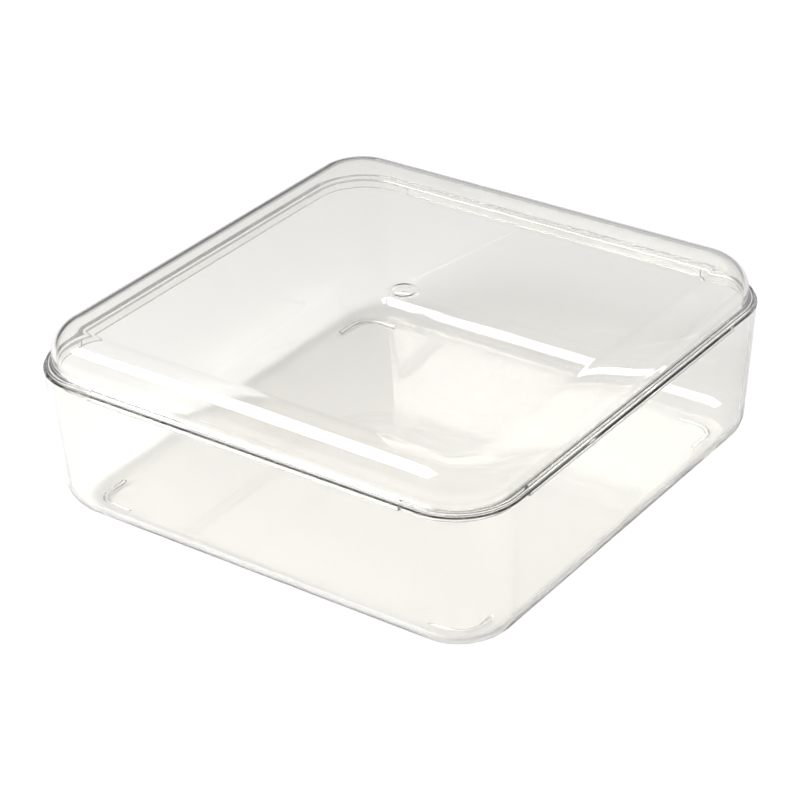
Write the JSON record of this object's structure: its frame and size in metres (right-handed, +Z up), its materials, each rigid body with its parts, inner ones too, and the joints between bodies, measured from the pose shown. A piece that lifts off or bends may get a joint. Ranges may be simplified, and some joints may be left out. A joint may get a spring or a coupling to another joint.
{
  "type": "cake container",
  "caption": "Low square cake container of clear moulded plastic: a tray with rounded corners and stacking ribs, and a flat-topped lid that plugs in and lifts off.",
  "frame": {"origin": "On the surface that the container stands on, under the middle of its square plan.", "axes": "+Z is up, the way the lid lifts. X and Y run along the square's sides; -Y is the side shown front left in the picture and +X the side shown front right."},
  "size_m": [0.1608, 0.1608, 0.06],
  "materials": {
    "tray_plastic": "clear, colourless, glossy moulded polystyrene",
    "lid_plastic": "clear, colourless, glossy moulded polystyrene"
  },
  "bodies": {
    "tray": {"tray": "tray_plastic"},
    "lid": {"lid": "lid_plastic"}
  },
  "joints": [
    {"name": "lid_lift", "type": "slide", "parent": "tray", "child": "lid", "axis": [0, 0, 1], "range_m": [0, 0.06]}
  ]
}
